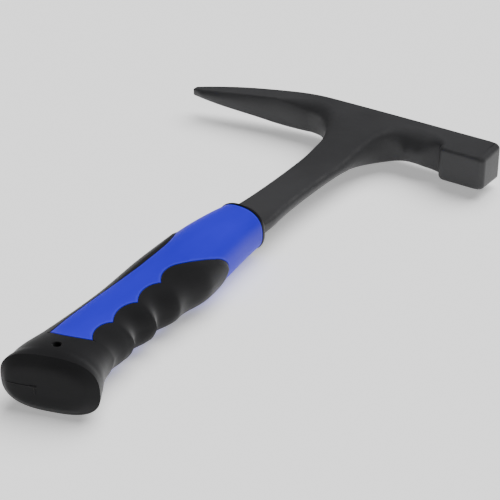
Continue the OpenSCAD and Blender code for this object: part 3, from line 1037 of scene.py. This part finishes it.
def noise(tree, scale, detail=2.0, stretch=(1, 1, 1)):
    """A noise texture in the piece's own space, with scale in cells per metre."""
    where = tree.nodes.new("ShaderNodeTexCoord")
    mapping = tree.nodes.new("ShaderNodeMapping")
    mapping.inputs["Scale"].default_value = stretch
    texture = tree.nodes.new("ShaderNodeTexNoise")
    texture.inputs["Scale"].default_value = scale
    texture.inputs["Detail"].default_value = detail
    tree.links.new(where.outputs["Object"], mapping.inputs["Vector"])
    tree.links.new(mapping.outputs["Vector"], texture.inputs["Vector"])
    return texture.outputs["Fac"]


def ranged(tree, value, start, end, low, high):
    """Maps start..end of a value to low..high."""
    node = tree.nodes.new("ShaderNodeMapRange")
    for socket, number in zip(("From Min", "From Max", "To Min", "To Max"),
                              (start, end, low, high)):
        node.inputs[socket].default_value = number
    tree.links.new(value, node.inputs["Value"])
    return node.outputs["Result"]


def combined(tree, operation, a, b):
    """Two values through a clamped math node; each may be a number or an output."""
    node = tree.nodes.new("ShaderNodeMath")
    node.operation = operation
    node.use_clamp = True
    for value, socket in zip((a, b), node.inputs):
        if isinstance(value, (int, float)):
            socket.default_value = value
        else:
            tree.links.new(value, socket)
    return node.outputs[0]


def blended(tree, factor, a, b):
    """Mixes two colours; each may be a colour or the output of another node."""
    node = tree.nodes.new("ShaderNodeMix")
    node.data_type = "RGBA"
    tree.links.new(factor, node.inputs[0])
    for value, socket in ((a, node.inputs[6]), (b, node.inputs[7])):
        if isinstance(value, tuple):
            socket.default_value = (*value, 1)
        else:
            tree.links.new(value, socket)
    return node.outputs[2]


def tagged(tree, name):
    """A value stored on the mesh's points."""
    node = tree.nodes.new("ShaderNodeAttribute")
    node.attribute_name = name
    return node.outputs["Fac"]


def surfaced(tree, shader, colour, roughness, layers):
    """Feeds the shader its colour, roughness and bump layers of (height, strength,
    depth in metres)."""
    tree.links.new(colour, shader.inputs["Base Color"])
    tree.links.new(roughness, shader.inputs["Roughness"])
    last = None
    for height, strength, depth in layers:
        node = tree.nodes.new("ShaderNodeBump")
        node.inputs["Strength"].default_value = strength
        node.inputs["Distance"].default_value = depth
        tree.links.new(height, node.inputs["Height"])
        if last is not None:
            tree.links.new(last, node.inputs["Normal"])
        last = node.outputs["Normal"]
    tree.links.new(last, shader.inputs["Normal"])


def edge_wear(tree, coverage):
    """The tagged edges, broken up by noise: 0 untouched, 1 worn."""
    patchy = ranged(tree, noise(tree, 190, 5), 0.42, 0.62, 0.15, 1)
    return combined(tree, "MULTIPLY", combined(tree, "MULTIPLY", tagged(tree, "wear_and_groove_shade"), patchy),
                    coverage)


def coated_steel():
    """Black satin coating on a forging: soft peel, fine grain, thin on the edges."""
    material, tree, shader = new_material("coated_steel", Specular_IOR_Level=0.3)
    clouds = ranged(tree, noise(tree, 24, 4), 0.35, 0.65, 0, 1)
    speckle = ranged(tree, noise(tree, 2600, 2), 0.35, 0.65, 0, 1)
    base = blended(tree, clouds, STEEL_DARK, STEEL_LIGHT)
    base = blended(tree, combined(tree, "MULTIPLY", speckle, 0.25), base, STEEL_SPECK)
    worn = edge_wear(tree, 0.2)
    base = blended(tree, worn, base, STEEL_WORN)
    rough = combined(tree, "ADD", ranged(tree, clouds, 0, 1, 0.38, 0.46),
                     ranged(tree, speckle, 0, 1, 0, 0.05))
    rough = combined(tree, "SUBTRACT", rough, combined(tree, "MULTIPLY", worn, 0.08))
    surfaced(tree, shader, base, rough, [(noise(tree, 160, 3), 0.25, 0.0004),
                                         (noise(tree, 2200, 2), 0.22, 0.00008)])
    return material


def core_plastic():
    """Hard black plastic with a faint moulded grain."""
    material, tree, shader = new_material("core_plastic", Specular_IOR_Level=0.45)
    clouds = ranged(tree, noise(tree, 70, 3), 0.35, 0.65, 0, 1)
    surfaced(tree, shader, blended(tree, clouds, CORE_DARK, CORE_LIGHT),
             ranged(tree, clouds, 0, 1, 0.40, 0.50), [(noise(tree, 1800, 2), 0.15, 0.00008)])
    return material


def sleeve_plastic():
    """Satin blue plastic: faint flow marks along the grip, painted shade in the groove at the
    edge and a painted highlight line beside it."""
    material, tree, shader = new_material("sleeve_plastic", Specular_IOR_Level=0.2)
    flow = ranged(tree, noise(tree, 40, 3, (1.0, 0.35, 1.0)), 0.35, 0.65, 0, 1)
    speckle = ranged(tree, noise(tree, 1500, 2), 0.4, 0.6, 0, 1)
    base = blended(tree, flow, BLUE_DEEP, BLUE_BRIGHT)
    # Painted shade: the groove along the sleeve's edge is darkened in the colour
    groove_shade = ranged(tree, tagged(tree, "wear_and_groove_shade"), 0.25, 0.85, 0, 0.75)
    # Painted highlight: a lighter blue line beside the sleeve's edge
    base = blended(tree, ranged(tree, tagged(tree, "rim"), 0, 1, 0, 0.22), base, BLUE_RIM_HIGHLIGHT)
    base = blended(tree, groove_shade, base, BLUE_GROOVE_SHADE)
    rough = combined(tree, "ADD", ranged(tree, flow, 0, 1, 0.40, 0.47),
                     ranged(tree, speckle, 0, 1, 0, 0.05))
    surfaced(tree, shader, base, rough, [(noise(tree, 110, 2, (1.0, 0.5, 1.0)), 0.12, 0.0003),
                                         (noise(tree, 1700, 2), 0.12, 0.00006)])
    return material


def soft_rubber():
    """Matte soft-touch rubber: fine grain, faint bloom, and smoother worn edges."""
    material, tree, shader = new_material("soft_rubber", Specular_IOR_Level=0.1,
                                          Sheen_Weight=0.22, Sheen_Roughness=0.4)
    bloom = ranged(tree, noise(tree, 55, 4), 0.35, 0.68, 0, 1)
    grain = ranged(tree, noise(tree, 2900, 2), 0.35, 0.65, 0, 1)
    base = blended(tree, bloom, RUBBER_DARK, RUBBER_BLOOM)
    base = blended(tree, combined(tree, "MULTIPLY", grain, 0.3), base, RUBBER_GRAIN)
    rough = combined(tree, "ADD", ranged(tree, bloom, 0, 1, 0.54, 0.62),
                     ranged(tree, grain, 0, 1, 0, 0.06))
    rough = combined(tree, "SUBTRACT", rough, edge_wear(tree, 0.1))
    surfaced(tree, shader, base, rough, [(noise(tree, 90, 3), 0.12, 0.0004),
                                         (noise(tree, 2600, 2), 0.35, 0.0001)])
    return material


# ---- Scene ----


def add_camera():
    """The camera, turned about its own axis by the roll."""
    alpha, theta, roll = map(math.radians, (-AZIMUTH, ELEVATION, ROLL))
    ahead = Vector((math.cos(theta) * math.sin(alpha), math.cos(theta) * math.cos(alpha),
                    -math.sin(theta)))
    right = Vector((math.cos(alpha), -math.sin(alpha), 0))
    up = right.cross(ahead)
    turned_right = math.cos(roll) * right + math.sin(roll) * up
    turned_up = -math.sin(roll) * right + math.cos(roll) * up
    data = bpy.data.cameras.new("camera")
    data.lens = LENS
    data.clip_start = 0.01
    data.clip_end = 30
    camera = add_object("camera", data)
    camera.matrix_world = Matrix.Translation(Vector(placed(AIM)) - ahead * DISTANCE) @ Matrix((
        turned_right, turned_up, -ahead)).transposed().to_4x4()
    bpy.context.scene.camera = camera


def add_floor():
    """A plain sheet of pale paper, which glows a little."""
    mesh = bpy.data.meshes.new("floor")
    r = FLOOR_REACH
    mesh.from_pydata([(-r, -r, 0), (r, -r, 0), (r, r, 0), (-r, r, 0)], [], [(0, 1, 2, 3)])
    floor = add_object("floor", mesh)
    material, tree, shader = new_material("floor_paper", Roughness=0.95, Specular_IOR_Level=0.1,
                                          Emission_Strength=FLOOR_GLOW)
    fibres = ranged(tree, noise(tree, 900, 3), 0.3, 0.7, 0, 1)
    tree.links.new(blended(tree, fibres, FLOOR_LOW, FLOOR_HIGH), shader.inputs["Base Color"])
    mesh.materials.append(material)


def add_panel():
    """A wide, even panel of light overhead."""
    data = bpy.data.lights.new("overhead_panel", "SUN")
    data.energy = PANEL_POWER
    data.angle = math.radians(PANEL_ANGLE)
    lamp = add_object("overhead_panel", data)
    lamp.rotation_mode = "QUATERNION"
    lamp.rotation_quaternion = Vector(PANEL_FROM).to_track_quat("Z", "Y")
    lamp.visible_glossy = False


def add_world():
    """A soft light tent: bright at the horizon, darker above it, brighter in front."""
    world = bpy.data.worlds.new("tent")
    bpy.context.scene.world = world
    world.use_nodes = True
    tree = world.node_tree
    where = tree.nodes.new("ShaderNodeTexCoord")
    split = tree.nodes.new("ShaderNodeSeparateXYZ")
    tree.links.new(where.outputs["Generated"], split.inputs[0])
    height = ranged(tree, split.outputs["Z"], 0.0, 0.5, TENT_HORIZON, TENT_SKY)
    front = ranged(tree, split.outputs["Y"], 0.2, -0.9, 1.0, TENT_FRONT)
    level = tree.nodes.new("ShaderNodeMath")
    level.operation = "MULTIPLY"
    tree.links.new(height, level.inputs[0])
    tree.links.new(front, level.inputs[1])
    tree.links.new(level.outputs[0], tree.nodes["Background"].inputs["Strength"])


add_camera()
add_floor()
add_world()
add_panel()

points, faces, wear_and_groove_shade = forging_mesh()
forging = make_piece("forged_steel_hammer", points, faces, coated_steel(),
                     "forged_hammer", tags={"wear_and_groove_shade": wear_and_groove_shade})
shells = grip_meshes()
points, faces, wear_and_groove_shade, rim = shells["sleeve"]
sleeve = make_piece("blue_grip_sleeve", points, faces, sleeve_plastic(),
                    "grip_sleeve", tags={"wear_and_groove_shade": wear_and_groove_shade, "rim": rim})
marks = [(p, f, np.zeros(len(p))) for p, f in butt_marks()]
points, faces, wear_and_groove_shade = joined([shells["overmould"][:3]] + marks)
overmould = make_piece("black_soft_overmould", points, faces, soft_rubber(),
                       "soft_overmould", sharp_deg=24.0, tags={"wear_and_groove_shade": wear_and_groove_shade})
points, faces = core_mesh()
core = make_piece("grip_core_and_lip", points, faces, core_plastic(), "grip_core")
for piece in (forging, sleeve, overmould, core):
    oriented(piece)
bore_through(core, LANYARD_AT, LANYARD_R)
